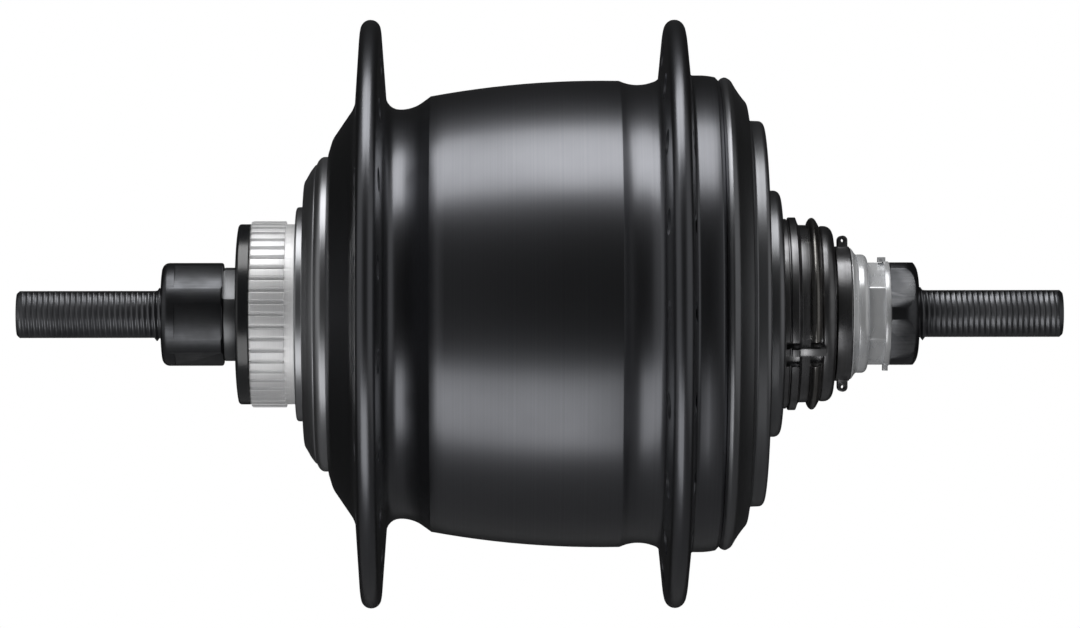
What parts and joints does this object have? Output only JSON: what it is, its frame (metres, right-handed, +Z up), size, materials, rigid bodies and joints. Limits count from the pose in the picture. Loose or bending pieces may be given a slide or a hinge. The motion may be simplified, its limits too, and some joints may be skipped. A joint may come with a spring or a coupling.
{
  "type": "internal gear hub",
  "caption": "Rear bicycle hub with planetary gears inside a black shell with spoke flanges, a splined disc rotor mount and a driver for a sprocket, on a fixed axle with nuts.",
  "frame": {"origin": "middle of the axle, on its centre line", "axes": "+X along the axle towards the drive side, +Z up, -Y towards the viewer"},
  "size_m": [0.187, 0.1052, 0.1052],
  "materials": {
    "axle": "black oxide thread",
    "ball_steel": "polished",
    "black_steel": "black oxide",
    "bright_steel": "zinc plated",
    "cap_nickel": "black nickel plated pressed steel",
    "cone_steel": "ground steel",
    "cover_black": "satin black pressed steel",
    "driver_steel": "hardened steel, oiled",
    "dust_cap": "moulded",
    "gear_steel": "hardened gear steel",
    "seal_rubber": "moulded",
    "shell_black": "gloss black over cast aluminium",
    "spline_alloy": "machined",
    "spring_steel": "drawn wire"
  },
  "bodies": {
    "axle_assembly": {"axle": "axle", "first_sun_pawl": "gear_steel", "second_sun_pawl": "gear_steel", "third_sun_pawl": "gear_steel", "fourth_sun_pawl": "gear_steel", "left_lock_nut": "black_steel", "left_cone": "cone_steel", "left_dust_cap": "dust_cap", "right_cone": "bright_steel", "retaining_ring": "bright_steel", "stop_nut": "bright_steel", "lock_washer": "bright_steel", "right_lock_nut": "black_steel", "return_spring": "spring_steel", "sun_gear_1": "gear_steel", "sun_gear_4": "gear_steel"},
    "shell": {"hub_shell": "shell_black", "rotor_mount": "spline_alloy", "left_ball_cup": "cone_steel", "left_seal": "seal_rubber", "left_end_cap": "cap_nickel", "right_ball_cup": "cone_steel", "right_seal": "seal_rubber", "right_cover": "cover_black", "ring_gear_high": "gear_steel", "clutch_rollers": "ball_steel", "roller_cage": "dust_cap"},
    "driver": {"driver": "driver_steel", "drive_pawls": "gear_steel", "ring_gear_low": "gear_steel", "snap_ring": "spring_steel", "driver_dust_cap": "cover_black", "driver_seal": "seal_rubber", "drive_clutch": "gear_steel", "clutch_spring": "spring_steel"},
    "carrier": {"planet_carrier": "gear_steel", "planet_pins": "gear_steel", "carrier_pawls": "gear_steel"},
    "sun_2": {"sun_gear_2": "gear_steel"},
    "sun_3": {"sun_gear_3": "gear_steel"},
    "left_bearing": {"left_bearing_balls": "ball_steel", "left_ball_cage": "cone_steel"},
    "driver_bearing": {"driver_bearing_balls": "ball_steel", "driver_ball_cage": "cone_steel"},
    "shell_bearing": {"shell_bearing_balls": "ball_steel", "shell_ball_cage": "cone_steel"},
    "shifter": {"shift_ring": "driver_steel", "control_sleeve": "gear_steel"},
    "planet_low_1": {"planet_gear_low_1": "gear_steel"},
    "planet_low_2": {"planet_gear_low_2": "gear_steel"},
    "planet_low_3": {"planet_gear_low_3": "gear_steel"},
    "planet_high_1": {"planet_gear_high_1": "gear_steel"},
    "planet_high_2": {"planet_gear_high_2": "gear_steel"},
    "planet_high_3": {"planet_gear_high_3": "gear_steel"}
  },
  "joints": [
    {"name": "shell_spin", "type": "hinge", "parent": "axle_assembly", "child": "shell", "pos_m": [0, 0, 0], "axis": [1, 0, 0], "continuous": true},
    {"name": "driver_spin", "type": "hinge", "parent": "axle_assembly", "child": "driver", "pos_m": [0, 0, 0], "axis": [1, 0, 0], "continuous": true},
    {"name": "carrier_spin", "type": "hinge", "parent": "axle_assembly", "child": "carrier", "pos_m": [0, 0, 0], "axis": [1, 0, 0], "continuous": true},
    {"name": "sun_2_spin", "type": "hinge", "parent": "axle_assembly", "child": "sun_2", "pos_m": [0, 0, 0], "axis": [1, 0, 0], "continuous": true},
    {"name": "sun_3_spin", "type": "hinge", "parent": "axle_assembly", "child": "sun_3", "pos_m": [0, 0, 0], "axis": [1, 0, 0], "continuous": true},
    {"name": "left_bearing_spin", "type": "hinge", "parent": "axle_assembly", "child": "left_bearing", "pos_m": [0, 0, 0], "axis": [1, 0, 0], "continuous": true},
    {"name": "driver_bearing_spin", "type": "hinge", "parent": "axle_assembly", "child": "driver_bearing", "pos_m": [0, 0, 0], "axis": [1, 0, 0], "continuous": true},
    {"name": "shell_bearing_spin", "type": "hinge", "parent": "axle_assembly", "child": "shell_bearing", "pos_m": [0, 0, 0], "axis": [1, 0, 0], "continuous": true},
    {"name": "planet_low_1_spin", "type": "hinge", "parent": "carrier", "child": "planet_low_1", "pos_m": [0, 0, 0.021], "axis": [1, 0, 0], "continuous": true},
    {"name": "planet_low_2_spin", "type": "hinge", "parent": "carrier", "child": "planet_low_2", "pos_m": [0, -0.01819, -0.0105], "axis": [1, 0, 0], "continuous": true},
    {"name": "planet_low_3_spin", "type": "hinge", "parent": "carrier", "child": "planet_low_3", "pos_m": [0, 0.01819, -0.0105], "axis": [1, 0, 0], "continuous": true},
    {"name": "planet_high_1_spin", "type": "hinge", "parent": "carrier", "child": "planet_high_1", "pos_m": [0, 0, 0.021], "axis": [1, 0, 0], "continuous": true},
    {"name": "planet_high_2_spin", "type": "hinge", "parent": "carrier", "child": "planet_high_2", "pos_m": [0, -0.01819, -0.0105], "axis": [1, 0, 0], "continuous": true},
    {"name": "planet_high_3_spin", "type": "hinge", "parent": "carrier", "child": "planet_high_3", "pos_m": [0, 0.01819, -0.0105], "axis": [1, 0, 0], "continuous": true},
    {"name": "shift_turn", "type": "hinge", "parent": "axle_assembly", "child": "shifter", "pos_m": [0, 0, 0], "axis": [1, 0, 0], "range_deg": [0, 154], "stiffness_Nm_per_rad": 0.08}
  ],
  "couplings": [
    {"joint": "driver_spin", "follows": "shell_spin", "ratio": 1.1861},
    {"joint": "carrier_spin", "follows": "shell_spin", "ratio": 0.6213},
    {"joint": "sun_2_spin", "follows": "shell_spin", "ratio": -0.96923},
    {"joint": "sun_3_spin", "follows": "shell_spin", "ratio": -0.23077},
    {"joint": "left_bearing_spin", "follows": "shell_spin", "ratio": 0.61693},
    {"joint": "driver_bearing_spin", "follows": "shell_spin", "ratio": 0.72109},
    {"joint": "shell_bearing_spin", "follows": "shell_spin", "ratio": 1.0832},
    {"joint": "planet_low_1_spin", "follows": "shell_spin", "ratio": 1.5533},
    {"joint": "planet_low_2_spin", "follows": "shell_spin", "ratio": 1.5533},
    {"joint": "planet_low_3_spin", "follows": "shell_spin", "ratio": 1.5533},
    {"joint": "planet_high_1_spin", "follows": "shell_spin", "ratio": 0.99408},
    {"joint": "planet_high_2_spin", "follows": "shell_spin", "ratio": 0.99408},
    {"joint": "planet_high_3_spin", "follows": "shell_spin", "ratio": 0.99408}
  ]
}
